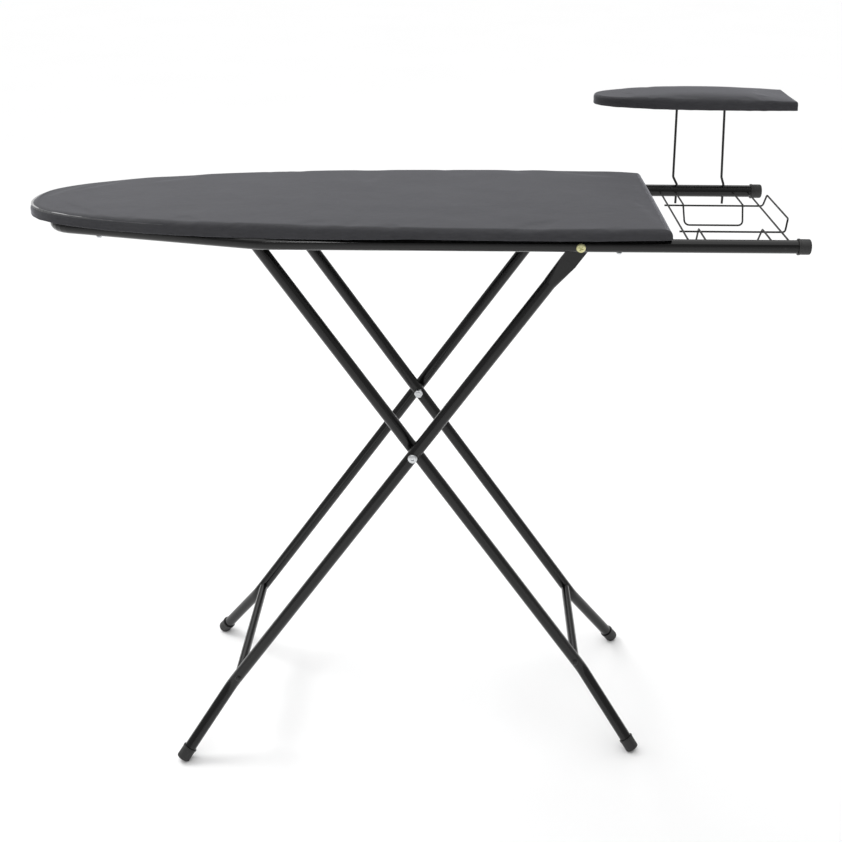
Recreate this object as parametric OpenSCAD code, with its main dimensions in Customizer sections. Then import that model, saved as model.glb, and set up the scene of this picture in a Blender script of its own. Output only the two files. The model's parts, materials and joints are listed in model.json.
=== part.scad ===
// Folding ironing board: padded top on a tube underframe, crossed leg frames,
// wire iron rest and a lift-out sleeve board.
// Millimetres, +Z up, board nose towards -X, floor at Z = 0.

/* [Board] */
// Half width of the board at its widest
board_half_w = 189; // [180:1:200]
// Distance from the leg crossing to the nose tip
nose_x = 597; // [560:1:620]
// Distance from the leg crossing to the widest place
widest_x = 200; // [150:1:240]
// Distance from the leg crossing to the square end
end_x = 383; // [360:1:400]
// Thickness of the padded board, from skirt hem to top
board_t = 15.5; // [14:0.5:24]

/* [Underframe] */
// Outer diameter of the rails and the legs
tube_d = 20; // [18:1:22]
// Wall of every steel tube
wall = 1.2; // [1:0.1:2]
// Height of the rail centre line over the floor
rail_z = 922; // [900:1:940]
// Distance of a rail from the middle of the board
rail_y = 162; // [160:0.5:164]
// Distance from the crossing to the rail ends
rail_end_x = 583; // [570:1:600]
// Where the rails bend inwards to the nose
rail_bend_x = -222; // [-240:1:-210]
// Centre line of the cross run behind the nose
nose_bar_x = -545; // [-560:1:-530]
// Angle of the converging rails
nose_angle = 14.4; // [12:0.1:16]

/* [Legs] */
// Height of the crossing bolts
cross_z = 565; // [550:1:580]
// Slope of the outer leg frame in use
outer_angle = 54.4; // [52:0.1:58]
// Slope of the inner leg frame in use
inner_angle = 55.8; // [52:0.1:58]
// Distance of an outer leg tube from the middle
outer_y = 141; // [140:0.5:141.5]
// Distance of an inner leg tube from the middle
inner_y = 116; // [114:0.5:116]
// Diameter of the lower crossbars
crossbar_d = 15; // [12:1:16]
// Diameter of the bolts at the rail pivots and the crossing
bolt_d = 8; // [6:1:8]
// Drop from the rail pivots to the inner frame's top bar
top_bar_drop = 27; // [26:0.5:30]

/* [Iron rest] */
// Wire of the iron rest
rest_wire_d = 3; // [2.5:0.5:4]
// Height of the lip that stops the iron
lip_h = 20; // [15:1:30]
// Depth of the two hanging hoops
hoop_drop = 29; // [20:1:40]

/* [Sleeve board] */
// Height of the sleeve board's hem over the floor
sleeve_z = 1070; // [1040:1:1100]
// Half width of the sleeve board
sleeve_half_w = 62; // [55:1:65]
// Thickness of the padded sleeve board
sleeve_t = 15; // [12:1:18]
// Where the sleeve board's nose is
sleeve_nose_x = 293; // [280:1:320]
// Where the sleeve board's square end is
sleeve_end_x = 620; // [610:1:640]
// Rod of the two posts
post_d = 4; // [4:0.5:5]

/* [Hidden] */
$fn = 48;
play = 0.05;                      // radial play of a running fit
cloth = 1.5;                      // cover fabric with its lining
gap = 0.5;                        // space between cover and pan
sheet = 1.2;                      // pressed steel sheet
tube_r = tube_d / 2;
rail_top = rail_z + tube_r;
hem_z = rail_top + 3.5;           // the hem ends just above the rails
top_z = hem_z + board_t;
bearer_h = 10;
pan_top = rail_top + bearer_h + sheet;
pivot_z = rail_z - 1;
outer_arm = (pivot_z - cross_z) / sin(outer_angle);
pivot_x = outer_arm * cos(outer_angle) - 5;   // the bolt sits off the leg's middle
inner_arm = (pivot_z - top_bar_drop - cross_z) / sin(inner_angle);
top_bar_d = 16;
top_bar_x = -inner_arm * cos(inner_angle);
top_bar_z = cross_z + inner_arm * sin(inner_angle);
outer_bend = 545;                 // crossing to crossbar along the outer legs
inner_bend = 515;
outer_splay = 19.9;               // outward flare of the feet
inner_splay = 17;
tip_z = 7.6;                      // tube ends over the floor
outer_foot = ((cross_z - tip_z) / sin(outer_angle) - outer_bend) / cos(outer_splay);
inner_foot = ((cross_z - tip_z) / sin(inner_angle) - inner_bend) / cos(inner_splay);
foot_cap_d = 23;
cap_end = 4;                      // plastic beyond the tube's end
cap_round = 2.5;
foot_cap_l = 23;
rail_cap_l = 18.5;
cap_lip = 0.7;                    // collar at the open end of a cap
tongue_w = 27;                    // flattened top of an outer leg tube
tongue_t = 4;
tongue_y = outer_y + tube_r - tongue_t / 2;
screw_x = [307, -470];            // screws through the rails into the bearers
rest_x = [413, 563];              // cross wires of the iron rest
lip_y = 76;
hoop_lean = 21;                   // the hoops lean in under the rest as they hang
post_x = [442, 522];              // post holes in the far rail
post_kink = [7, 4.5];             // the posts step sideways above the rail
post_top = [9.5, 10];
post_foot = 22;                   // post length below the rail's centre line
rack_y = 40;
rack_t = 3;
rack_x = [-480, -140];
tooth_pitch = 30;
lever_x = -190;
lever_z = 913;
lever_d = 6;
// The origin is at the middle of the footprint.
foot_reach = 203.4;
origin_x = (sleeve_end_x - nose_x) / 2;
origin_y = (rail_y + sleeve_half_w - foot_reach) / 2;

// ---- helpers -------------------------------------------------------------
function unit(v) = v / norm(v);
function turn(a, b) = acos(max(-1, min(1, unit(a) * unit(b))));

module centred() translate([-origin_x, -origin_y, 0]) children();

// Places children with their X, Y and Z along x, y and z, at p.
module basis(p, x, y, z)
    multmatrix([[x[0], y[0], z[0], p[0]], [x[1], y[1], z[1], p[1]],
                [x[2], y[2], z[2], p[2]], [0, 0, 0, 1]]) children();

// Places children with their Z along dir and their Y as near to +Y as it goes.
module along(p, dir) {
    z = unit(dir);
    x = unit(cross(abs(z[1]) < 0.9 ? [0, 1, 0] : [0, 0, 1], z));
    basis(p, x, cross(z, x), z) children();
}

module rod(a, b, d) along(a, b - a) cylinder(h = norm(b - a), d = d);

// Points and directions along a line through pts, rounded at each inner point.
function arc_points(p, t1, t2, r, steps) =
    let(ang = turn(t1, t2), n = unit(t2 - t1 * (t1 * t2)), c = p - t1 * r * tan(ang / 2) + n * r)
    [for (i = [0 : steps]) let(a = ang * i / steps)
        [c + r * (t1 * sin(a) - n * cos(a)), t1 * cos(a) + n * sin(a)]];
function rounded_path(pts, radii, steps) =
    let(last = len(pts) - 1, dirs = [for (i = [0 : last - 1]) unit(pts[i + 1] - pts[i])])
    concat([[pts[0], dirs[0]]],
        [for (i = [1 : last - 1])
            each arc_points(pts[i], dirs[i - 1], dirs[i], radii[i - 1], steps)],
        [[pts[last], dirs[last - 1]]]);

// Normals carried along the path without twist.
function square_to(n, t) = unit(n - t * (n * t));
function normals(path) = [for (i = 0, n = square_to([0.1, 0.2, 1], path[0][1]); i < len(path);
    i = i + 1, n = i < len(path) ? square_to(n, path[i][1]) : n) n];
function rings(path, ns, r, sides) = [for (i = [0 : len(path) - 1], j = [0 : sides - 1])
    let(a = 360 * j / sides)
    path[i][0] + r * (ns[i] * cos(a) + cross(path[i][1], ns[i]) * sin(a))];
function wall_faces(count, sides, base, flip) = [for (i = [0 : count - 2], j = [0 : sides - 1])
    let(a = base + i * sides + j, b = base + i * sides + (j + 1) % sides,
        quad = [[a, b, b + sides], [a, b + sides, a + sides]])
    each [for (f = quad) flip ? [f[2], f[1], f[0]] : f]];
function ring_faces(at, bore_at, sides, flip) = [for (j = [0 : sides - 1])
    let(a = at + j, b = at + (j + 1) % sides, c = bore_at + (j + 1) % sides, d = bore_at + j,
        quad = [[a, c, b], [a, d, c]])
    each [for (f = quad) flip ? [f[2], f[1], f[0]] : f]];

// A round rod or, with a bore, a tube through points.
module bent_rod(pts, radii, d, bore = 0, sides = 16, steps = 5) {
    path = rounded_path(pts, radii, steps);
    ns = normals(path);
    count = len(path);
    size = count * sides;
    last = size - sides;
    if (bore > 0)
        polyhedron(concat(rings(path, ns, d / 2, sides), rings(path, ns, bore / 2, sides)),
            concat(wall_faces(count, sides, 0, true), wall_faces(count, sides, size, false),
                ring_faces(0, size, sides, true), ring_faces(last, size + last, sides, false)));
    else
        polyhedron(rings(path, ns, d / 2, sides),
            concat(wall_faces(count, sides, 0, true),
                [[for (j = [0 : sides - 1]) j], [for (j = [sides - 1 : -1 : 0]) last + j]]));
}

module bent_tube(pts, radii, d) bent_rod(pts, radii, d, d - 2 * wall, 32, 6);

// A bolt or bore along Y, from y0 to y1.
module y_pin(x, y0, y1, z, d)
    translate([x, min(y0, y1), z]) rotate([-90, 0, 0]) cylinder(h = abs(y1 - y0), d = d);

module hex_y(x, y0, y1, z, af)
    translate([x, min(y0, y1), z]) rotate([-90, 0, 0])
        cylinder(h = abs(y1 - y0), d = af / cos(30), $fn = 6);

// Domed screw head: flat at y0, crown towards side.
module dome_y(x, y0, z, d, h, side)
    translate([x, y0, z]) rotate([side > 0 ? -90 : 90, 0, 0]) rotate_extrude()
        polygon(concat([[0, 0], [d / 2, 0]],
            [for (a = [0 : 15 : 90]) [d / 2 * cos(a), h * (0.3 + 0.7 * sin(a))]]));

// ---- plan outlines -------------------------------------------------------
// Bullet outline: a superellipse to the nose, nearly parallel to a square end
// with rounded corners.  inset moves it inwards.
function bullet_w(x, tip, widest, half) = x >= widest ?
    half - 0.00027 * pow(x - widest, 2) :
    half * pow(max(0, 1 - pow((widest - x) / (widest - tip), 2.1)), 0.4);

function bullet_side(tip, widest, end, half, corner, steps) = concat(
    [for (i = [1 : steps]) let(x = tip + (end - corner - tip) * pow(i / steps, 1.7))
        [x, bullet_w(x, tip, widest, half)]],
    [for (a = [75 : -15 : 0]) [end - corner + corner * cos(a),
        bullet_w(end - corner, tip, widest, half) - corner + corner * sin(a)]]);

function bullet(tip, widest, end, half, corner, steps) =
    let(side = bullet_side(tip, widest, end, half, corner, steps), n = len(side))
    concat([[tip, 0]], side, [for (i = [n - 1 : -1 : 0]) [side[i][0], -side[i][1]]]);

function inset(pts, d) = let(n = len(pts))
    [for (i = [0 : n - 1]) let(t = unit(pts[(i + 1) % n] - pts[(i + n - 1) % n]))
        pts[i] + d * [t[1], -t[0]]];

board_outline = bullet(-nose_x, widest_x, end_x, board_half_w, 10, 26);
sleeve_outline = bullet(sleeve_nose_x, sleeve_end_x - 110, sleeve_end_x, sleeve_half_w, 8, 18);

module slab(outline, d, z0, z1)
    translate([0, 0, z0]) linear_extrude(z1 - z0) polygon(inset(outline, d));

// ---- board ---------------------------------------------------------------
module top_panel() color("dimgray") centred() difference() {
    slab(board_outline, cloth + gap, hem_z + 1, pan_top);
    slab(board_outline, cloth + gap + sheet, hem_z, pan_top - sheet);
}

module foam_pad() color("gainsboro") centred()
    slab(board_outline, cloth + gap, pan_top, top_z - cloth - gap);

module board_cover() color("dimgray") centred() difference() {
    slab(board_outline, 0, hem_z, top_z);
    slab(board_outline, cloth, hem_z - 1, top_z - cloth - gap);
}

// ---- underframe ----------------------------------------------------------
nose_corner_y = rail_y - (rail_bend_x - nose_bar_x) * tan(nose_angle);
function frame_path(s) = [[rail_end_x, s * rail_y, rail_z], [rail_bend_x, s * rail_y, rail_z],
    [nose_bar_x, s * nose_corner_y, rail_z]];
function hairpin_y(x) = x > rail_bend_x ? rail_y : rail_y - (rail_bend_x - x) * tan(nose_angle);

module frame_tube() color("black") centred() difference() {
    bent_tube(concat(frame_path(-1), [for (i = [2 : -1 : 0]) frame_path(1)[i]]),
        [110, 36, 36, 110], tube_d);
    for (s = [-1, 1]) {
        y_pin(pivot_x, s * (rail_y - tube_d), s * (rail_y + tube_d), pivot_z, bolt_d + 2 * play);
        for (x = screw_x) translate([x, s * hairpin_y(x), rail_z - tube_d])
            cylinder(h = 2 * tube_d, d = 4 + 3 * play, $fn = 20);
    }
    for (x = post_x) translate([x, rail_y, rail_z - tube_d])
        cylinder(h = 2 * tube_d, d = post_d + 4 * play, $fn = 20);
}

// Cap with a plug that fills the tube's end.
module end_cap(p, dir, d, l, plug) {
    plug_r = tube_r - wall - 0.1;
    open_end = cap_end - l;
    along(p, dir) {
        rotate_extrude() polygon([[0, -plug], [plug_r - 1, -plug], [plug_r, -plug + 2],
            [plug_r, 1], [0, 1]]);
        rotate_extrude() polygon(concat([[tube_r, open_end], [d / 2 + cap_lip, open_end],
            [d / 2 + cap_lip, open_end + 2.2], [d / 2, open_end + 3]],
            [for (a = [0 : 15 : 90]) [d / 2 - cap_round + cap_round * cos(a),
                cap_end - cap_round + cap_round * sin(a)]],
            [[0, cap_end], [0, 0], [tube_r, 0]]));
    }
}

module rail_cap_near() color("dimgray") centred()
    end_cap([rail_end_x, -rail_y, rail_z], [1, 0, 0], 23, rail_cap_l, 12);
module rail_cap_far() color("dimgray") centred()
    end_cap([rail_end_x, rail_y, rail_z], [1, 0, 0], 23, rail_cap_l, 12);

// Hat-section bearer between the rails and the pan.
module bearer(x, half, holes) difference() {
    translate([x, -half, rail_top]) rotate([-90, 0, 0]) linear_extrude(2 * half)
        polygon([[-18, 0], [-18, -2], [-11, -2], [-11, -bearer_h], [11, -bearer_h], [11, -2],
            [18, -2], [18, 0], [9, 0], [9, -bearer_h + 2], [-9, -bearer_h + 2], [-9, 0]]);
    for (y = holes) translate([x, y, rail_top - 1]) cylinder(h = bearer_h + 2, d = 4 + 2 * play);
}

module front_bearer() color("black") centred()
    bearer(screw_x[1], hairpin_y(screw_x[1]) + 4, []);
module mid_bearer() color("black") centred() bearer(-150, rail_y, []);
module rear_bearer() color("black") centred() bearer(screw_x[0], rail_y + 8, []);

// Screw heads under the rails, with shanks up into the bearers.
module bearer_screws() color("silver") centred()
    for (x = screw_x, s = [-1, 1]) translate([x, s * hairpin_y(x), rail_z - tube_r]) {
        translate([0, 0, -2.6]) cylinder(h = 2.6, d1 = 6.5, d2 = 9);
        cylinder(h = tube_d + bearer_h - 3, d = 4);
    }

// Toothed plate with a top flange; the inner frame's top bar runs below it.
module height_rack(s) color("silver") centred() difference() {
    union() {
        translate([rack_x[0], s * rack_y - (s < 0 ? rack_t : 0), top_bar_z + top_bar_d / 2 + 2.5])
            cube([rack_x[1] - rack_x[0], rack_t, rail_top - top_bar_z - top_bar_d / 2 - 2.5]);
        translate([rack_x[0], s > 0 ? rack_y - 12 : -rack_y, rail_top - 2])
            cube([rack_x[1] - rack_x[0], 12, 2]);
    }
    for (i = [0 : 6]) y_pin(top_bar_x - i * tooth_pitch, -60, 60, top_bar_z + 4, top_bar_d + 4);
    y_pin(lever_x, -60, 60, lever_z, lever_d + 2 * play);
}
module height_rack_near() height_rack(-1);
module height_rack_far() height_rack(1);

// ---- iron rest -----------------------------------------------------------
inner_face = rail_y - tube_r;
module rest_cross(x) color("black") centred() difference() {
    rod([x, -rail_y + 4, rail_z], [x, rail_y - 4, rail_z], rest_wire_d);
    for (s = [-1, 1]) rod([x - 9, s * rail_y, rail_z], [x + 9, s * rail_y, rail_z], tube_d);
}
module rest_wire_front() rest_cross(rest_x[0]);
module rest_wire_rear() rest_cross(rest_x[1]);

// Wire that carries the iron, turned up into a lip at the outer end.
module rest_lip_wire() color("black") centred() {
    z = rail_z - rest_wire_d;
    lip_x = rest_x[1] + 8;
    bent_rod([[rest_x[0] - 4, -lip_y, z], [lip_x, -lip_y, z], [lip_x + 4, -lip_y + 6, z + lip_h],
        [lip_x + 4, lip_y - 6, z + lip_h], [lip_x, lip_y, z], [rest_x[0] - 4, lip_y, z]],
        [5, 4, 4, 5], rest_wire_d);
}

module rest_hoop(s) color("black") centred() difference() {
    bent_rod([[439, s * (inner_face + 4), rail_z], [439, s * (lip_y - 4), rail_z],
        [440, s * (lip_y - 4 - hoop_lean), rail_z - hoop_drop],
        [535, s * (lip_y - 4 - hoop_lean), rail_z - hoop_drop],
        [537, s * (lip_y - 4), rail_z], [537, s * (inner_face + 4), rail_z]],
        [4, 8, 8, 4], rest_wire_d);
    rod([420, s * rail_y, rail_z], [556, s * rail_y, rail_z], tube_d);
}
module rest_hoop_near() rest_hoop(-1);
module rest_hoop_far() rest_hoop(1);

// ---- pivots --------------------------------------------------------------
module pivot_bolts() color("gold") centred() for (s = [-1, 1]) {
    difference() {
        dome_y(pivot_x, s * (rail_y + tube_r), pivot_z, 14, 3.2, s);
        for (a = [0, 90]) translate([pivot_x, s * (rail_y + tube_r + 2.8), pivot_z])
            rotate([0, a + 30, 0]) cube([7.4, 3, 1.7], center = true);
    }
    y_pin(pivot_x, s * (rail_y + tube_r + 0.5), s * (tongue_y - 9), pivot_z, bolt_d);
}
module pivot_nuts() color("silver") centred() for (s = [-1, 1]) difference() {
    hex_y(pivot_x, s * (tongue_y - 2.3), s * (tongue_y - 8), pivot_z, 13);
    y_pin(pivot_x, s * (tongue_y - 1), s * (tongue_y - 10), pivot_z, bolt_d);
}

// ---- leg frames ----------------------------------------------------------
function down(ang, side) = [side * cos(ang), 0, -sin(ang)];
function outer_at(t, s) = [0, s * outer_y, cross_z] + t * down(outer_angle, -1);
function inner_at(t, s) = [0, s * inner_y, cross_z] + t * down(inner_angle, 1);
function flare(dir, splay, s) = dir * cos(splay) + [0, s * sin(splay), 0];
function outer_tip(s, l) = outer_at(outer_bend, s) + l * flare(down(outer_angle, -1), outer_splay, s);
function inner_tip(s, l) = inner_at(inner_bend, s) + l * flare(down(inner_angle, 1), inner_splay, s);

// Tube to below the pivot, then a flattened tongue that takes the pivot bolt.
neck = 78;                        // pivot to the end of the round tube
module at_outer(t, s) along(outer_at(t - outer_arm, s), down(outer_angle, -1)) children();
module flat_end(s, t, l, trim) at_outer(t, s)
    translate([-tongue_w / 2 + trim, (s > 0 ? tube_r - tongue_t : -tube_r) + trim, 0])
        cube([tongue_w - 2 * trim, tongue_t - 2 * trim, l]);
module outer_leg(s) color("black") centred() difference() {
    union() {
        bent_tube([outer_at(neck - 0.5 - outer_arm, s), outer_at(outer_bend, s),
            outer_tip(s, outer_foot)], [60], tube_d);
        hull() {
            at_outer(neck, s) cylinder(h = 1, d = tube_d + 0.6, $fn = 32);
            flat_end(s, 34, 1, 0);
        }
        flat_end(s, -14, 48.5, 0.2);
    }
    y_pin(pivot_x, s * (outer_y - tube_d), s * (outer_y + tube_d), pivot_z, bolt_d + 2 * play);
    y_pin(0, s * (outer_y - tube_d), s * (outer_y + tube_d), cross_z, bolt_d + 2 * play);
    rivet_bore(outer_at(outer_bend - 22, s), outer_y, s);
}
module outer_leg_near() outer_leg(-1);
module outer_leg_far() outer_leg(1);

module inner_leg(s) color("black") centred() difference() {
    bent_tube([inner_at(-inner_arm - 12, s), inner_at(inner_bend, s), inner_tip(s, inner_foot)],
        [60], tube_d);
    y_pin(0, s * (inner_y - tube_d), s * (inner_y + tube_d), cross_z, bolt_d + 2 * play);
    rivet_bore(inner_at(inner_bend - 22, s), inner_y, s);
}
module inner_leg_near() inner_leg(-1);
module inner_leg_far() inner_leg(1);

module rivet_bore(p, y, s) y_pin(p[0], s * (y - tube_d), s * (y + tube_d), p[2], 5);

// Bar between the two tubes of a frame, its ends cut to the tubes' round.
module cross_tube(a, b, d, tube_dir) difference() {
    rod(a, b, d);
    rod(a - unit(b - a), b + unit(b - a), d - 2 * wall);
    for (p = [a, b]) rod(p - 40 * tube_dir, p + 40 * tube_dir, tube_d);
}

module outer_crossbar() color("black") centred()
    cross_tube(outer_at(outer_bend - 22, -1), outer_at(outer_bend - 22, 1), crossbar_d,
        down(outer_angle, -1));
module inner_crossbar() color("black") centred()
    cross_tube(inner_at(inner_bend - 22, -1), inner_at(inner_bend - 22, 1), crossbar_d,
        down(inner_angle, 1));
module inner_top_bar() color("black") centred()
    cross_tube(inner_at(-inner_arm, -1), inner_at(-inner_arm, 1), top_bar_d,
        down(inner_angle, 1));

module rivets(p, y) for (s = [-1, 1]) {
    dome_y(p[0], s * (y + tube_r), p[2], 10, 2.4, s);
    y_pin(p[0], s * (y + tube_r + 0.5), s * (y - tube_r - 3), p[2], 5);
}
module outer_rivets() color("black") centred() rivets(outer_at(outer_bend - 22, 1), outer_y);
module inner_rivets() color("black") centred() rivets(inner_at(inner_bend - 22, 1), inner_y);

// Foot cap, cut off level where it stands on the floor.
module foot_cap(tip, dir) color("black") centred() difference() {
    end_cap(tip, dir, foot_cap_d, foot_cap_l, 14);
    translate([tip[0] - 50, tip[1] - 50, -50]) cube([100, 100, 50]);
}
module outer_foot_near() foot_cap(outer_tip(-1, outer_foot), flare(down(outer_angle, -1), outer_splay, -1));
module outer_foot_far() foot_cap(outer_tip(1, outer_foot), flare(down(outer_angle, -1), outer_splay, 1));
module inner_foot_near() foot_cap(inner_tip(-1, inner_foot), flare(down(inner_angle, 1), inner_splay, -1));
module inner_foot_far() foot_cap(inner_tip(1, inner_foot), flare(down(inner_angle, 1), inner_splay, 1));

// ---- crossing ------------------------------------------------------------
outer_face = outer_y + tube_r;
module crossing_bolts() color("silver") centred() for (s = [-1, 1]) {
    difference() {
        dome_y(0, s * outer_face, cross_z, 15, 4, s);
        hex_y(0, s * (outer_face + 1.8), s * (outer_face + 5), cross_z, 5);
    }
    y_pin(0, s * (outer_face + 0.5), s * (inner_y - tube_r - 7.5), cross_z, bolt_d);
}
module crossing_spacers() color("silver") centred() for (s = [-1, 1]) difference() {
    y_pin(0, s * (outer_y - tube_r - 0.2), s * (inner_y + tube_r + 0.2), cross_z, 16);
    y_pin(0, 0, s * 200, cross_z, bolt_d);
}
module crossing_nuts() color("silver") centred() for (s = [-1, 1]) difference() {
    hex_y(0, s * (inner_y - tube_r - 0.2), s * (inner_y - tube_r - 6.5), cross_z, 13);
    y_pin(0, 0, s * 200, cross_z, bolt_d);
}

// ---- release lever -------------------------------------------------------
grip_y = 80;
module lever_rod() color("silver") centred()
    bent_rod([[lever_x, -rack_y - 8, lever_z], [lever_x, grip_y, lever_z],
        [lever_x + 110, grip_y, lever_z]], [14], lever_d);
module lever_pawl() color("silver") centred() difference() {
    union() {
        translate([top_bar_x - 6, -2, top_bar_z + top_bar_d / 2 + 3]) cube([44, 4, 9]);
        y_pin(lever_x, -6, 6, lever_z, 14);
    }
    y_pin(lever_x, -20, 20, lever_z, lever_d);
}
module lever_grip() color("dimgray") centred() difference() {
    along([lever_x + 38, grip_y, lever_z], [1, 0, 0]) rotate_extrude()
        polygon([[0, 0], [5, 0], [6.5, 2], [6, 30], [6.5, 74], [5, 76], [0, 76]]);
    rod([lever_x + 30, grip_y, lever_z], [lever_x + 110, grip_y, lever_z], lever_d);
}

// ---- sleeve board --------------------------------------------------------
sleeve_pan_top = sleeve_z + 3.5 + sheet;
module on_far_rail() translate([0, rail_y, 0]) children();
module sleeve_panel() color("dimgray") centred() on_far_rail() difference() {
    slab(sleeve_outline, cloth + gap, sleeve_z + 0.5, sleeve_pan_top);
    slab(sleeve_outline, cloth + gap + sheet, sleeve_z - 1, sleeve_pan_top - sheet);
}
module sleeve_pad() color("gainsboro") centred() on_far_rail()
    slab(sleeve_outline, cloth + gap, sleeve_pan_top, sleeve_z + sleeve_t - cloth - gap);
module sleeve_cover() color("dimgray") centred() on_far_rail() difference() {
    slab(sleeve_outline, 0, sleeve_z, sleeve_z + sleeve_t);
    slab(sleeve_outline, cloth, sleeve_z - 1, sleeve_z + sleeve_t - cloth - gap);
}

// One rod bent into two posts; it runs along under the sleeve board's pan.
bar_z = sleeve_pan_top - sheet - post_d / 2;
module sleeve_posts() color("black") centred() on_far_rail()
    bent_rod([[post_x[0], 0, rail_z - post_foot], [post_x[0], 0, rail_z + 11],
        [post_x[0] - post_kink[0], 0, rail_z + 24], [post_x[0] - post_top[0], 0, bar_z],
        [post_x[1] - post_top[1], 0, bar_z], [post_x[1] - post_kink[1], 0, rail_z + 24],
        [post_x[1], 0, rail_z + 11], [post_x[1], 0, rail_z - post_foot]],
        [6, 6, 5, 5, 6, 6], post_d);

clip_x = [455, 493];
module sleeve_clips() color("silver") centred() on_far_rail() for (x = clip_x) difference() {
    translate([x - 5, -14, bar_z - post_d / 2 - 1.5]) cube([10, 28, 5.5]);
    translate([x - 6, -8, bar_z - post_d / 2]) cube([12, 16, 5]);
    for (y = [-11, 11]) translate([x, y, bar_z - 10]) cylinder(h = 20, d = 3);
}
module sleeve_screws() color("silver") centred() on_far_rail()
    for (x = clip_x, y = [-11, 11]) translate([x, y, bar_z - post_d / 2 - 1.5]) {
        translate([0, 0, -1.6]) cylinder(h = 1.6, d1 = 4.5, d2 = 6);
        cylinder(h = 5.5, d = 3);
    }

top_panel();
foam_pad();
board_cover();
frame_tube();
rail_cap_near();
rail_cap_far();
front_bearer();
mid_bearer();
rear_bearer();
bearer_screws();
height_rack_near();
height_rack_far();
rest_wire_front();
rest_wire_rear();
rest_lip_wire();
rest_hoop_near();
rest_hoop_far();
pivot_bolts();
pivot_nuts();
outer_leg_near();
outer_leg_far();
outer_crossbar();
outer_rivets();
outer_foot_near();
outer_foot_far();
crossing_bolts();
crossing_spacers();
crossing_nuts();
inner_leg_near();
inner_leg_far();
inner_top_bar();
inner_crossbar();
inner_rivets();
inner_foot_near();
inner_foot_far();
lever_rod();
lever_pawl();
lever_grip();
sleeve_panel();
sleeve_pad();
sleeve_cover();
sleeve_posts();
sleeve_clips();
sleeve_screws();
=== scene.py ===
"""Looks of a folding ironing board: cloth, sheet metal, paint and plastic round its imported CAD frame."""
import json
import math

import bpy
import numpy as np
from mathutils import Matrix, Vector, noise


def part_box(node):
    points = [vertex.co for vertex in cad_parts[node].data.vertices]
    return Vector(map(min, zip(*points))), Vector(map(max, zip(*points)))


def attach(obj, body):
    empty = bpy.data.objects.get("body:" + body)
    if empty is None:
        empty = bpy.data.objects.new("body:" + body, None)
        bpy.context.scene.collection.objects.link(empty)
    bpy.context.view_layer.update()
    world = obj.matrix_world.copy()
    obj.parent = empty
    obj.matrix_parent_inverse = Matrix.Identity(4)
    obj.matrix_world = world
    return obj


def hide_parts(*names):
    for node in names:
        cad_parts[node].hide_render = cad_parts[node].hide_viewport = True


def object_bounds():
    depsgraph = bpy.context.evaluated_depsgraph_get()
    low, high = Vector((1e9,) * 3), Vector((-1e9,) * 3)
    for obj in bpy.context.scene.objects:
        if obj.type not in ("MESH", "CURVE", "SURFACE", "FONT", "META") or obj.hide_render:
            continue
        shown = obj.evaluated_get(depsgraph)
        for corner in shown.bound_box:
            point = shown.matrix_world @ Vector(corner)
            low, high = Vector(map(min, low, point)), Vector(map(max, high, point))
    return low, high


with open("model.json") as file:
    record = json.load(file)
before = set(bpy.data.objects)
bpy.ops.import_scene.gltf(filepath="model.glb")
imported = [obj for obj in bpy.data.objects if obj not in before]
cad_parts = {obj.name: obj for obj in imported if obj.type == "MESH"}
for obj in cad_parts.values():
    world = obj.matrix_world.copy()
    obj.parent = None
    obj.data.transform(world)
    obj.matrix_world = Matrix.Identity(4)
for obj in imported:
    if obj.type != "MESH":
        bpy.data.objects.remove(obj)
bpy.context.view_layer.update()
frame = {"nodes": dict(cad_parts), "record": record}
scene = bpy.context.scene
MM = 0.001

# ---- camera -------------------------------------------------------------------
bolts_low, bolts_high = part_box("crossing_bolts")
CROSSING = Vector(((bolts_low.x + bolts_high.x) / 2, (bolts_low.y + bolts_high.y) / 2, 0))
CAMERA_AT = CROSSING + Vector((0.0810, -1.8514, 1.4365))
PITCH, YAW, ROLL = (math.radians(a) for a in (23.0, -0.75, 0.65))
LENS, SHIFT_X, SHIFT_Y = 51.41, -0.0685, -0.0579
NEAREST, FARTHEST = 0.05, 100


def make_camera():
    """A camera off the near side, a little right of the legs' crossing, looking down at the board."""
    forward = Vector((-math.sin(YAW) * math.cos(PITCH), math.cos(YAW) * math.cos(PITCH), -math.sin(PITCH)))
    right = Vector((math.cos(YAW), math.sin(YAW), 0))
    up = right.cross(forward)
    rolled_right = right * math.cos(ROLL) + up * math.sin(ROLL)
    rolled_up = up * math.cos(ROLL) - right * math.sin(ROLL)
    data = bpy.data.cameras.new("camera")
    data.lens, data.shift_x, data.shift_y = LENS, SHIFT_X, SHIFT_Y
    data.clip_start, data.clip_end = NEAREST, FARTHEST
    camera = bpy.data.objects.new("camera", data)
    camera.matrix_world = Matrix.Translation(CAMERA_AT) @ Matrix(
        (rolled_right, rolled_up, -forward)).transposed().to_4x4()
    scene.collection.objects.link(camera)
    scene.camera = camera


make_camera()


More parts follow.
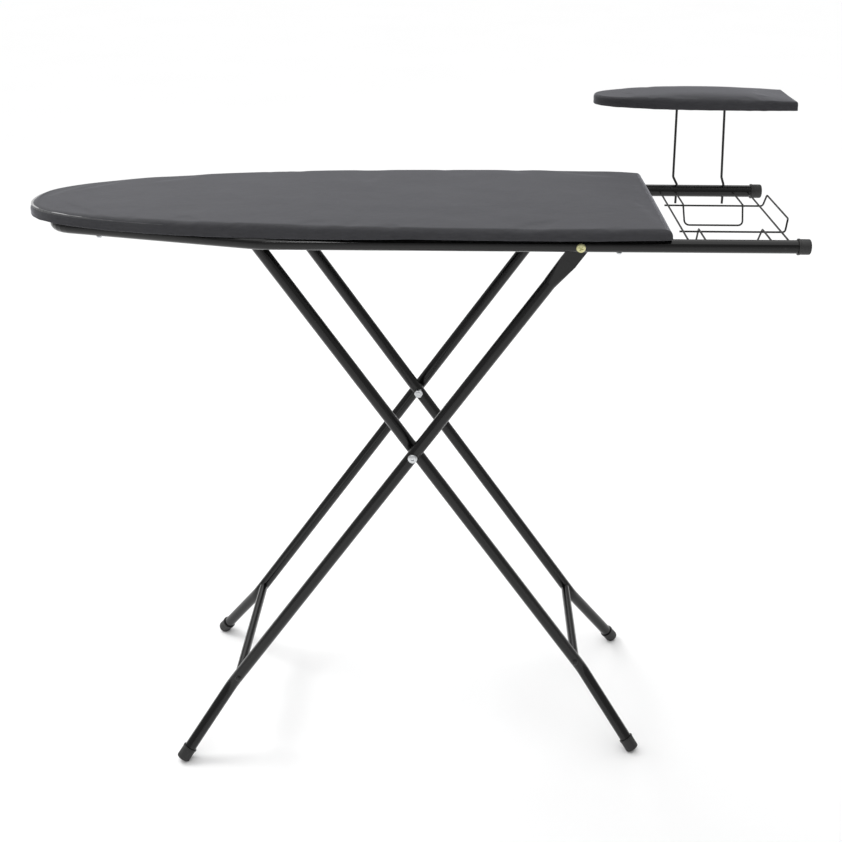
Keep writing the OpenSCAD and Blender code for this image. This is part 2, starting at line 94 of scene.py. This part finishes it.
# ---- materials ----------------------------------------------------------------
class Paint:
    """A node material being built: short calls add nodes and join them."""

    def __init__(self, name, **constants):
        self.material = bpy.data.materials.new(name)
        self.material.use_nodes = True
        self.tree = self.material.node_tree
        self.shader = self.tree.nodes["Principled BSDF"]
        for socket, value in constants.items():
            self.shader.inputs[socket.replace("_", " ")].default_value = value
        self.place = self.tree.nodes.new("ShaderNodeTexCoord").outputs["Object"]

    def node(self, kind, *inputs, **settings):
        made = self.tree.nodes.new(kind)
        for key, value in settings.items():
            setattr(made, key, value)
        for socket, value in inputs:
            if isinstance(value, bpy.types.NodeSocket):
                self.tree.links.new(value, made.inputs[socket])
            else:
                made.inputs[socket].default_value = value
        return made

    def noise(self, scale, detail, rough, place=None):
        """Cloudy grain with that many features to the metre, from 0 to 1."""
        return self.node("ShaderNodeTexNoise", ("Vector", place or self.place), ("Scale", scale),
                         ("Detail", detail), ("Roughness", rough)).outputs["Fac"]

    def waves(self, direction, pitch, distortion):
        """Bands of that pitch in metres along X, Y or Z, from 0 to 1."""
        return self.node("ShaderNodeTexWave", ("Vector", self.place),
                         ("Scale", 2 * math.pi / (20 * pitch)), ("Distortion", distortion), ("Detail", 1),
                         ("Detail Scale", 2), bands_direction=direction).outputs["Fac"]

    def stretched(self, x, y, z):
        """The object's own coordinates, scaled along each axis."""
        return self.node("ShaderNodeVectorMath", (0, self.place), (1, (x, y, z)),
                         operation="MULTIPLY").outputs[0]

    def math(self, operation, a, b=0.0):
        """The result of that sum on one value or two."""
        return self.node("ShaderNodeMath", (0, a), (1, b), operation=operation).outputs[0]

    def spread(self, value, low, high, to_low=0.0, to_high=1.0):
        """The value, with the span from low to high carried to another span and held there."""
        return self.node("ShaderNodeMapRange", ("Value", value), ("From Min", low), ("From Max", high),
                         ("To Min", to_low), ("To Max", to_high)).outputs["Result"]

    def mix(self, share, a, b):
        """Colour a, with that share of colour b."""
        made = self.tree.nodes.new("ShaderNodeMix")
        made.data_type = "RGBA"
        for socket, value in ((0, share), (6, a), (7, b)):
            if isinstance(value, bpy.types.NodeSocket):
                self.tree.links.new(value, made.inputs[socket])
            else:
                made.inputs[socket].default_value = value
        return made.outputs[2]

    def bump(self, height, distance, strength, under=None):
        """A normal tilted by the height, on top of the normal under it."""
        made = self.node("ShaderNodeBump", ("Height", height), ("Distance", distance),
                         ("Strength", strength))
        if under is not None:
            self.tree.links.new(under, made.inputs["Normal"])
        return made.outputs["Normal"]

    def set(self, **sockets):
        """Joins outputs to the shader's sockets and gives back the finished material."""
        for socket, value in sockets.items():
            self.tree.links.new(value, self.shader.inputs[socket.replace("_", " ")])
        return self.material


def grey(level, warm=0.0):
    """A grey of that linear level, tinted towards red by warm."""
    return (level * (1 + warm), level, level * (1 - warm), 1)


def cloth_material():
    """Charcoal plain-weave cover with a slight cool cast, fine slubs and a soft bloom."""
    p = Paint("cover_cloth", Roughness=0.85, Sheen_Weight=0.45, Sheen_Roughness=0.35,
              Sheen_Tint=(0.82, 0.83, 0.9, 1), Specular_IOR_Level=0.3)
    pitch = 0.9 * MM
    wander = 0.6
    facing = p.node("ShaderNodeNewGeometry").outputs["Normal"]
    facing_up = p.node("ShaderNodeSeparateXYZ", (0, facing)).outputs["Z"]
    flat = p.spread(p.math("ABSOLUTE", facing_up), 0.35, 0.65)
    warp = p.waves("X", pitch, wander)
    weft = p.mix(flat, p.waves("Z", pitch, wander), p.waves("Y", pitch, wander))
    weave = p.math("MULTIPLY", warp, weft)
    slubs = p.noise(260, 3, 0.6, p.stretched(0.25, 1.0, 1.0))
    bloom = p.noise(9, 4, 0.6)
    fuzz = p.noise(1500, 2, 0.6)
    shade = p.math("ADD", p.math("MULTIPLY", weave, 0.35), p.math("MULTIPLY", slubs, 0.65))
    tone = p.mix(p.spread(shade, 0.2, 0.8), (0.024, 0.024, 0.027, 1), (0.047, 0.047, 0.052, 1))
    tone = p.mix(p.spread(bloom, 0.35, 0.7, 0.0, 0.35), tone, (0.045, 0.045, 0.049, 1))
    tone = p.mix(p.spread(fuzz, 0.55, 0.75, 0.0, 0.25), tone, (0.075, 0.076, 0.082, 1))
    rumple = p.noise(26, 4, 0.55)
    normal = p.bump(rumple, 1.0 * MM, 0.35)
    normal = p.bump(shade, 0.12 * MM, 0.5, normal)
    return p.set(Base_Color=tone, Normal=normal)


def lining_material():
    """Grey needled felt: the under side of the pad, seen through the pan's holes."""
    p = Paint("felt_lining", Roughness=0.96, Sheen_Weight=0.25, Specular_IOR_Level=0.2)
    fibres = p.noise(700, 5, 0.75, p.stretched(1.0, 0.35, 1.0))
    tufts = p.noise(90, 3, 0.6)
    tone = p.mix(fibres, (0.20, 0.20, 0.205, 1), (0.42, 0.42, 0.42, 1))
    tone = p.mix(p.spread(tufts, 0.4, 0.7, 0.0, 0.4), tone, (0.28, 0.28, 0.29, 1))
    return p.set(Base_Color=tone, Normal=p.bump(fibres, 0.4 * MM, 0.6))


def paint_material(name, level, rough, peel, wear):
    """Black powder coat: orange peel, cloudy gloss and a few pale scuffs."""
    p = Paint(name, Specular_IOR_Level=0.34, Coat_Weight=0.1, Coat_Roughness=0.1, Coat_IOR=1.5)
    grain = p.noise(620, 3, 0.55)
    cloud = p.noise(14, 4, 0.6)
    scuff = p.noise(210, 6, 0.7, p.stretched(0.5, 1.0, 1.6))
    worn = p.spread(p.math("MULTIPLY", scuff, p.noise(30, 3, 0.6)), 0.40, 0.47, 0.0, wear)
    tone = p.mix(p.spread(cloud, 0.3, 0.7), grey(level), grey(level * 1.7, 0.01))
    tone = p.mix(worn, tone, grey(0.03))
    gloss = p.math("ADD", p.spread(cloud, 0.25, 0.75, rough, rough + 0.07),
                   p.math("MULTIPLY", worn, 0.35))
    return p.set(Base_Color=tone, Roughness=gloss, Normal=p.bump(grain, peel, 0.5))


def plastic_material(name, low, high, rough):
    """Moulded plastic: fine spark-eroded grain, slight flow clouding, dull rubbed spots."""
    p = Paint(name, Specular_IOR_Level=0.42)
    grain = p.noise(1800, 2, 0.5)
    flow = p.noise(60, 3, 0.6, p.stretched(1.0, 1.0, 0.4))
    rubbed = p.noise(240, 5, 0.7)
    tone = p.mix(p.spread(flow, 0.3, 0.7), grey(low), grey(high, 0.01))
    tone = p.mix(p.spread(rubbed, 0.62, 0.8, 0.0, 0.4), tone, grey(high * 1.8, 0.02))
    gloss = p.spread(rubbed, 0.3, 0.7, rough, rough + 0.16)
    return p.set(Base_Color=tone, Roughness=gloss, Normal=p.bump(grain, 0.06 * MM, 0.5))


def plated_material(name, tone_low, tone_high, rough):
    """Zinc plate: mottled crystals, hairline turning marks and dull patches."""
    p = Paint(name, Metallic=1.0)
    mottle = p.noise(420, 4, 0.6)
    patch = p.noise(70, 3, 0.6)
    lines = p.noise(900, 3, 0.7, p.stretched(1.0, 0.1, 1.0))
    tone = p.mix(p.spread(mottle, 0.3, 0.7), tone_low, tone_high)
    gloss = p.math("ADD", p.spread(patch, 0.3, 0.7, rough, rough + 0.16),
                   p.spread(lines, 0.3, 0.7, 0.0, 0.08))
    return p.set(Base_Color=tone, Roughness=gloss, Normal=p.bump(lines, 0.05 * MM, 0.4))


def sheet_material():
    """Pressed steel sheet in thin dark primer, with drawing marks along its length."""
    p = Paint("sheet_steel", Metallic=0.35, Specular_IOR_Level=0.5)
    drawn = p.noise(320, 4, 0.65, p.stretched(0.06, 1.0, 1.0))
    cloud = p.noise(11, 4, 0.6)
    tone = p.mix(p.spread(drawn, 0.3, 0.7), (0.045, 0.046, 0.049, 1), (0.085, 0.086, 0.09, 1))
    tone = p.mix(p.spread(cloud, 0.4, 0.75, 0.0, 0.4), tone, (0.06, 0.06, 0.064, 1))
    gloss = p.spread(cloud, 0.3, 0.7, 0.36, 0.5)
    return p.set(Base_Color=tone, Roughness=gloss, Normal=p.bump(drawn, 0.06 * MM, 0.5))


def floor_material():
    """Matt white paper, very slightly uneven."""
    p = Paint("studio_floor", Roughness=0.9, Specular_IOR_Level=0.1)
    tone = p.mix(p.noise(1.2, 2, 0.5), (0.93, 0.93, 0.93, 1), (0.95, 0.95, 0.95, 1))
    return p.set(Base_Color=tone)


MATERIALS = {
    "cover_cloth": cloth_material(),
    "foam": lining_material(),
    "sheet_steel": sheet_material(),
    "black_steel": paint_material("black_powder_coat", 0.0016, 0.17, 0.10 * MM, 0.5),
    "black_wire": paint_material("black_wire_coat", 0.0030, 0.24, 0.06 * MM, 0.4),
    "grey_plastic": plastic_material("dark_grey_plastic", 0.016, 0.026, 0.46),
    "black_plastic": plastic_material("black_plastic", 0.008, 0.014, 0.40),
    "zinc": plated_material("bright_zinc", (0.50, 0.52, 0.54, 1), (0.74, 0.75, 0.76, 1), 0.22),
    "yellow_zinc": plated_material("yellow_zinc", (0.52, 0.50, 0.24, 1), (0.80, 0.78, 0.48, 1), 0.30),
}


def dress_cad_nodes():
    """Gives each kept CAD node the material of its slot in the record."""
    for part in frame["record"]["subparts"]:
        mesh = frame["nodes"][part["node"]].data
        mesh.materials.clear()
        mesh.materials.append(MATERIALS[part["material_slot"]])


dress_cad_nodes()


# ---- mesh helpers -------------------------------------------------------------
def mesh_piece(name, verts, faces, slot, body):
    """A mesh object that takes its finish from that slot and rides on that body."""
    mesh = bpy.data.meshes.new(name)
    mesh.from_pydata([tuple(v) for v in verts], [], faces)
    mesh.validate()
    mesh.polygons.foreach_set("use_smooth", [True] * len(mesh.polygons))
    mesh.materials.append(MATERIALS[slot])
    obj = bpy.data.objects.new(name, mesh)
    scene.collection.objects.link(obj)
    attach(obj, body)
    return obj


def sharpen(obj, degrees):
    """Keeps edges steeper than that angle crisp on a smooth-shaded mesh."""
    obj.data.set_sharp_from_angle(angle=math.radians(degrees))


def join_meshes(parts):
    """One list of vertices and faces from several."""
    verts, faces = [], []
    for v, f in parts:
        faces += [tuple(i + len(verts) for i in face) for face in f]
        verts += list(v)
    return verts, faces


# ---- plan outline of the two boards -------------------------------------------
class Outline:
    """A bullet-shaped plan: a rounded nose, nearly parallel sides and a square end with small corners."""
    TAPER = 0.27          # how fast the sides close behind the widest place, per metre
    NOSE_POWERS = 2.1, 0.4
    SAMPLES = 900         # points tried along one side before they are spaced evenly

    def __init__(self, node, widest, corner, step):
        low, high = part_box(node)
        self.tip, self.end = low.x, high.x
        self.half, self.mid = (high.y - low.y) / 2, (high.y + low.y) / 2
        self.widest = widest
        self.bottom, self.top = low.z, high.z
        self.side = self.spaced(self.side_points(corner), step)
        self.across = max(8, round(2 * self.side[-1][1] / step))
        self.points, self.normals = self.loop()

    def half_width(self, x):
        """Half the width at x, before the end corners are rounded."""
        if x >= self.widest:
            return self.half - self.TAPER * (x - self.widest) ** 2
        inner, outer = self.NOSE_POWERS
        ahead = (self.widest - x) / (self.widest - self.tip)
        return self.half * max(0.0, 1 - ahead ** inner) ** outer

    def side_points(self, corner):
        """One side from the tip to the end, close together at the tip, with the end corner's arc."""
        straight = self.end - corner
        xs = [self.tip + (straight - self.tip) * (i / self.SAMPLES) ** 3 for i in range(self.SAMPLES + 1)]
        centre_y = self.half_width(straight) - corner
        turns = [math.radians(a) for a in range(86, -1, -4)]
        return [(x, self.half_width(x)) for x in xs] + [
            (straight + corner * math.cos(a), centre_y + corner * math.sin(a)) for a in turns]

    @staticmethod
    def spaced(points, step):
        """Points an even step apart along a line."""
        pts = np.array(points)
        run = np.concatenate([[0], np.cumsum(np.hypot(*np.diff(pts, axis=0).T))])
        at = np.linspace(0, run[-1], max(12, round(run[-1] / step)) + 1)
        return list(zip(np.interp(at, run, pts[:, 0]), np.interp(at, run, pts[:, 1])))

    def loop(self):
        """The closed outline, from the tip by the +Y side and the end to the -Y side, and its normals."""
        side = self.side[1:]
        x_end, y_end = side[-1]
        ends = [(x_end, y_end * (1 - 2 * j / self.across)) for j in range(1, self.across)]
        pts = [self.side[0]] + side + ends + [(x, -y) for x, y in reversed(side)]
        count = len(pts)
        normals = []
        for k in range(count):
            a, b = Vector(pts[k - 1]), Vector(pts[(k + 1) % count])
            t = (b - a).normalized()
            normals.append(Vector((-t.y, t.x)))
        return [Vector(p) for p in pts], normals

    def ring(self, inward):
        """The outline moved inwards, in the row frame's plan."""
        return [p - n * inward + Vector((0, self.mid)) for p, n in zip(self.points, self.normals)]

    def grid(self, ring_start, verts, height, flip):
        """Faces that fill a ring; the vertices inside it are added to verts."""
        rows, m = len(self.side) - 1, self.across
        faces, lines = [], []
        for i in range(1, rows + 1):
            a, b = ring_start + i, ring_start + len(self.points) - i
            if i == rows:
                line = [ring_start + i + j for j in range(m + 1)]
            else:
                line = [a]
                for j in range(1, m):
                    p = verts[a].lerp(verts[b], j / m)
                    line.append(len(verts))
                    verts.append(Vector((p.x, p.y, height)))
                line.append(b)
            lines.append(line)
        for j in range(m):
            faces.append((ring_start, lines[0][j + 1], lines[0][j]))
        for upper, lower in zip(lines, lines[1:]):
            for j in range(m):
                faces.append((upper[j], upper[j + 1], lower[j + 1], lower[j]))
        return [f[::-1] for f in faces] if flip else faces

    def shell(self, profile):
        """A closed form from rings at (inward, z): the first ring is filled above, and the last below."""
        verts, faces = [], []
        count = len(self.points)
        for inward, z in profile:
            verts += [Vector((p.x, p.y, z)) for p in self.ring(inward)]
        for r in range(len(profile) - 1):
            for k in range(count):
                a, b = r * count + k, r * count + (k + 1) % count
                faces.append((a, b, b + count, a + count))
        faces += self.grid(0, verts, profile[0][1], False)
        faces += self.grid((len(profile) - 1) * count, verts, profile[-1][1], True)
        return verts, faces


# ---- padded covers ------------------------------------------------------------
LINING_IN = 1.9 * MM          # how far inside the cover's edge its pad meets the pan's rim
HAIR = 0.1 * MM
GATHERS_PER_M = 75
SETTLING_FRAMES = 16


def cover_profile(outline, edge, rim, bead):
    """Cross-section of a cover as (inward, z), in four parts: the crease, the skirt, the rolled hem, and
    the return drawn in under the pan's rim."""
    top, hem = outline.top, outline.bottom
    turns = [math.radians(d) for d in (0, 12, 26, 42, 60, 80)]
    arc = [(edge * (1 - math.sin(a)), top - edge * (1 - math.cos(a))) for a in turns]
    skirt_top = top - edge
    skirt = [(-0.1 * MM, skirt_top * 0.75 + hem * 0.25), (0.2 * MM, skirt_top * 0.4 + hem * 0.6)]
    roll = [(-0.2 * MM, hem + 1.9 * MM), (-0.4 * MM, hem + 0.9 * MM), (0.4 * MM, hem + 0.1 * MM),
            (1.4 * MM, hem), (2.2 * MM, hem + 0.7 * MM)]
    turn = [(bead - 1.8 * MM, rim - 1.4 * MM), (bead - 0.4 * MM, rim - 1.6 * MM),
            (bead + 0.3 * MM, rim - 1.0 * MM), (bead - 0.4 * MM, rim - 0.4 * MM),
            (bead - 1.8 * MM, rim - 0.4 * MM)]
    return arc, skirt, roll, turn


def make_cover(name, node, hidden, body, widest, corner, edge, step, pan_top, rim, bead, gather, swell,
               crown, top_drop, hem_drop):
    """A fitted cover over its pad, as one closed form: crowned top, soft crease, gathered skirt and a
    rolled hem drawn in under the pan's rim.  crown, top_drop and hem_drop are heights by place."""
    outline = Outline(node, widest, corner, step)
    arc, skirt, roll, turn = cover_profile(outline, edge, rim, bead)
    inner = [(LINING_IN, rim + 0.2 * MM), (LINING_IN, pan_top)]
    profile = arc + skirt + roll + turn + inner
    verts, faces = outline.shell(profile)
    first_roll, first_turn = len(arc + skirt), len(arc + skirt + roll)
    base = np.array([tuple(v) for v in verts])
    co = base.copy()
    skirt_top, lowest = outline.top - edge, min(z for _, z in roll)
    for i, (x, y, z) in enumerate(base):
        ring, k = divmod(i, len(outline.points))
        tucked_in = first_turn <= ring < len(profile)
        under_side = ring >= len(profile) and z < pan_top + HAIR
        if tucked_in or under_side:
            continue
        across = (y - outline.mid) / outline.half
        if z >= skirt_top - HAIR:
            co[i, 2] += crown(x, across) - top_drop(x, across)
            continue
        depth = min(1.0, (skirt_top - z) / (skirt_top - lowest))
        co[i, 2] -= (1 - depth) * top_drop(x, across) + depth * hem_drop(x)
        outward = outline.normals[k]
        bend = abs(outward.x)
        pucker = gathers(x, y)
        amount = gather * depth ** 1.5 * (0.3 + 0.7 * bend) * pucker
        co[i, 0] += outward.x * amount
        co[i, 1] += outward.y * amount
        co[i, 2] -= (0.5 + bend) * gather * max(0.0, pucker) * (ring >= first_roll)
    cover = mesh_piece(name, [tuple(c) for c in co], faces, "cover_cloth", body)
    cover.data.materials.append(MATERIALS["foam"])
    for polygon in cover.data.polygons:
        if polygon.normal.z < -0.9 and polygon.center.z > pan_top - 2 * HAIR:
            polygon.material_index = 1
    puff_top(cover, base[:, 2] > outline.top - edge * 0.97, swell)
    soften = cover.modifiers.new("soften", "SUBSURF")
    soften.levels = soften.render_levels = 1
    apply_modifiers(cover)
    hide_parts(*hidden)
    return cover


def gathers(x, y):
    """How far the slack of the skirt stands out at a place, about -1 to 1."""
    place = Vector((x * GATHERS_PER_M, y * GATHERS_PER_M, 0))
    return noise.noise(place) + 0.5 * noise.noise(place * 2.3 + Vector((9, 4, 2)))


def apply_modifiers(obj):
    """Replaces the object's mesh by what its modifiers make of it."""
    depsgraph = bpy.context.evaluated_depsgraph_get()
    made = bpy.data.meshes.new_from_object(obj.evaluated_get(depsgraph))
    obj.modifiers.clear()
    obj.data = made
    made.polygons.foreach_set("use_smooth", [True] * len(made.polygons))


def puff_top(cover, free, limit):
    """Cloth simulation of the stuffed top: the free vertices swell and wrinkle by at most limit."""
    start = np.array([tuple(v.co) for v in cover.data.vertices])
    held = cover.vertex_groups.new(name="held")
    held.add([int(i) for i in np.nonzero(~free)[0]], 1.0, "REPLACE")
    cloth = cover.modifiers.new("cloth", "CLOTH")
    settings = cloth.settings
    settings.quality = 5
    settings.mass = 0.25
    settings.tension_stiffness = settings.compression_stiffness = 25
    settings.shear_stiffness = 10
    settings.bending_stiffness = 6
    settings.use_pressure = True
    settings.uniform_pressure_force = 0.6
    settings.vertex_group_mass = "held"
    settings.effector_weights.gravity = 0
    settings.shrink_min = -0.004
    cloth.collision_settings.use_self_collision = False
    cloth.point_cache.frame_end = SETTLING_FRAMES
    for step in range(1, SETTLING_FRAMES + 1):
        scene.frame_set(step)
    depsgraph = bpy.context.evaluated_depsgraph_get()
    moved = cover.evaluated_get(depsgraph).to_mesh()
    now = np.zeros(len(moved.vertices) * 3)
    moved.vertices.foreach_get("co", now)
    shift = now.reshape(-1, 3) - start
    cover.modifiers.clear()
    cover.vertex_groups.clear()
    scene.frame_set(1)
    length = np.maximum(np.linalg.norm(shift, axis=1, keepdims=True), 1e-9)
    shift *= limit * np.tanh(length / limit) / length
    start[free] += shift[free]
    waviness = 0.35 * MM
    for i in np.nonzero(free)[0]:
        x, y, _ = start[i]
        start[i, 2] += waviness * noise.noise(Vector((x * 14, y * 20, 3.1)))
    cover.data.vertices.foreach_set("co", start.ravel())
    cover.data.update()


# ---- perforated pans ----------------------------------------------------------
def make_pan(name, node, body, widest, corner, top, rim, thick, pitch, hole, margin):
    """A pressed pan: a sheet with staggered round holes and a turned-down rim with a rolled edge."""
    outline = Outline(node, widest, corner, 8 * MM)
    curve = bpy.data.curves.new(name + "_plan", "CURVE")
    curve.dimensions, curve.fill_mode, curve.extrude = "2D", "BOTH", thick / 2

    def closed_line(points):
        line = curve.splines.new("POLY")
        line.points.add(len(points) - 1)
        for point, (x, y) in zip(line.points, points):
            point.co = (x, y, 0, 1)
        line.use_cyclic_u = True

    closed_line([tuple(p) for p in outline.ring(0.4 * MM)])
    round_the_hole = [k * math.pi / 6 for k in range(12)]
    row_pitch = pitch * math.sin(math.radians(60))
    rows = int(outline.half / row_pitch)
    for r in range(-rows, rows + 1):
        y = r * row_pitch
        x = outline.tip + margin + (pitch / 2 if r % 2 else 0)
        while x < outline.end - margin:
            if abs(y) + margin < outline.half_width(x - margin * 0.6):
                closed_line([(x + hole / 2 * math.cos(a), y + outline.mid + hole / 2 * math.sin(a))
                             for a in round_the_hole])
            x += pitch
    flat = bpy.data.objects.new(name + "_plan", curve)
    scene.collection.objects.link(flat)
    bpy.context.view_layer.update()
    sheet = bpy.data.meshes.new_from_object(flat.evaluated_get(bpy.context.evaluated_depsgraph_get()))
    verts = [Vector(v.co) + Vector((0, 0, top - thick / 2)) for v in sheet.vertices]
    faces = [tuple(f.vertices) for f in sheet.polygons]
    bpy.data.objects.remove(flat)
    bpy.data.curves.remove(curve)
    bpy.data.meshes.remove(sheet)
    roll_width, roll_height = 1.1 * MM, 1.3 * MM
    turns = [math.radians(d) for d in range(30, 181, 30)]
    front = [(0.0, top - HAIR), (0.0, rim + roll_height)]
    roll = [(roll_width * (1 - math.cos(a)), rim + roll_height * (1 - math.sin(a))) for a in turns]
    back = [(thick, rim + 1.6 * MM), (thick, top - HAIR)]
    verts, faces = join_meshes([(verts, faces), closed_band(outline, front + roll + back)])
    pan = mesh_piece(name, verts, faces, "sheet_steel", body)
    sharpen(pan, 40)
    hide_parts(node)
    return pan


def closed_band(outline, section):
    """A band round the outline whose cross-section is a closed line of (inward, z)."""
    count = len(outline.points)
    verts = [Vector((p.x, p.y, z)) for inward, z in section for p in outline.ring(inward)]
    faces = []
    for r in range(len(section)):
        s = (r + 1) % len(section)
        for k in range(count):
            j = (k + 1) % count
            faces.append((r * count + k, r * count + j, s * count + j, s * count + k))
    return verts, faces


BOARD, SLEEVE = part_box("board_cover"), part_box("sleeve_cover")
BOARD_WIDEST, SLEEVE_WIDEST = CROSSING.x + 0.200, SLEEVE[1].x - 0.110
BOARD_HEM, SLEEVE_HEM = BOARD[0].z, SLEEVE[0].z
PAN_TOP, SLEEVE_PAN_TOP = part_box("top_panel")[1].z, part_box("sleeve_panel")[1].z
SLEEVE_PAN_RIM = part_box("sleeve_panel")[0].z + 1.0 * MM
NOSE_STARTS = CROSSING.x - 0.100
END_PULLED = 0.07             # length of board over which the end corners are drawn down
SHEET = 1.2 * MM


def board_top_drop(x, across):
    """The pad thins towards the nose, more on the near side, and its end corners are pulled down."""
    share = max(0.0, (NOSE_STARTS - x) / (NOSE_STARTS - BOARD[0].x))
    nose = share ** 1.5 * (5.5 - 2.5 * across) * MM
    end = max(0.0, (x - BOARD[1].x + END_PULLED) / END_PULLED)
    return nose + 2.0 * MM * end ** 2 * abs(across) ** 3


def level(*place):
    """No change of height anywhere."""
    return 0.0


def board_hem_drop(x):
    """The slack skirt hangs lower along the converging sides and round the nose."""
    deepest, reach = 9.2 * MM, 0.23
    return deepest * (1 - math.exp(min(0.0, x - CROSSING.x) / reach))


def sleeve_crown(x, across):
    """The small pad is stuffed fuller in the middle."""
    along = min(1.0, max(0.0, (x - SLEEVE[0].x) / (SLEEVE[1].x - SLEEVE[0].x)))
    height = 8.0 * MM * math.sin(math.pi * along ** 1.2)
    return height * (1 - min(1.0, abs(across)) ** 4)


make_cover("board_cover_cloth", "board_cover", ("board_cover", "foam_pad"), "board", BOARD_WIDEST,
           corner=5 * MM, edge=11.0 * MM, step=7.0 * MM, pan_top=PAN_TOP + 0.2 * MM,
           rim=BOARD_HEM + 2.4 * MM, bead=5.0 * MM, gather=0.8 * MM, swell=0.45 * MM,
           crown=level, top_drop=board_top_drop, hem_drop=board_hem_drop)
make_cover("sleeve_cover_cloth", "sleeve_cover", ("sleeve_cover", "sleeve_pad"), "sleeve_board",
           SLEEVE_WIDEST, corner=4 * MM, edge=5.0 * MM, step=4.0 * MM,
           pan_top=SLEEVE_PAN_TOP + 0.2 * MM, rim=SLEEVE_HEM + 1.9 * MM, bead=4.5 * MM,
           gather=0.9 * MM, swell=0.45 * MM, crown=sleeve_crown,
           top_drop=level, hem_drop=level)
make_pan("board_pan", "top_panel", "board", BOARD_WIDEST, corner=8 * MM, top=PAN_TOP,
         rim=BOARD_HEM + 2.6 * MM, thick=SHEET, pitch=22 * MM, hole=10 * MM, margin=22 * MM)
make_pan("sleeve_pan", "sleeve_panel", "sleeve_board", SLEEVE_WIDEST, corner=6 * MM,
         top=SLEEVE_PAN_TOP, rim=SLEEVE_PAN_RIM, thick=SHEET, pitch=16 * MM, hole=7 * MM,
         margin=13 * MM)


# ---- studio -------------------------------------------------------------------
SKY_STRENGTH = 0.42


def make_studio():
    """A wide pale floor, an even pale sky, a small softbox in front, one at the far left, and a broad
    overhead light."""
    size, cells, set_back = 40.0, 8, 8
    xs = [size * (i / cells - 0.5) for i in range(cells + 1)]
    verts = [(x, y + set_back, 0) for y in xs for x in xs]
    row = cells + 1
    faces = [(r * row + c, r * row + c + 1, (r + 1) * row + c + 1, (r + 1) * row + c)
             for r in range(cells) for c in range(cells)]
    mesh = bpy.data.meshes.new("studio_floor")
    mesh.from_pydata(verts, [], faces)
    mesh.materials.append(floor_material())
    floor = bpy.data.objects.new("studio_floor", mesh)
    floor.location.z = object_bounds()[0].z - 0.2 * MM
    scene.collection.objects.link(floor)

    world = bpy.data.worlds.new("studio")
    scene.world = world
    world.use_nodes = True
    background = world.node_tree.nodes["Background"]
    background.inputs["Color"].default_value = (1, 1, 1, 1)
    background.inputs["Strength"].default_value = SKY_STRENGTH

    def soft_light(name, place, aim, width, height, power):
        """A rectangular softbox; place and aim are measured from the legs' crossing."""
        data = bpy.data.lights.new(name, "AREA")
        data.shape, data.size, data.size_y, data.energy = "RECTANGLE", width, height, power
        light = bpy.data.objects.new(name, data)
        light.location = CROSSING + Vector(place)
        light.rotation_mode = "QUATERNION"
        light.rotation_quaternion = (Vector(aim) - Vector(place)).to_track_quat("-Z", "Y")
        scene.collection.objects.link(light)

    soft_light("front_softbox", (-0.25, -1.85, 2.42), (0, -0.1, 0.9), 0.50, 0.30, 5.0)
    soft_light("left_softbox", (-1.7, 0.9, 2.6), (-0.3, 0, 0.9), 1.2, 0.9, 30)
    sun = bpy.data.lights.new("overhead_sky", "SUN")
    sun.energy, sun.angle = 2.1, math.radians(100)
    sky = bpy.data.objects.new("overhead_sky", sun)
    sky.rotation_euler = (math.radians(-8), math.radians(-10), 0)
    scene.collection.objects.link(sky)


make_studio()
scene.view_settings.view_transform = "Standard"
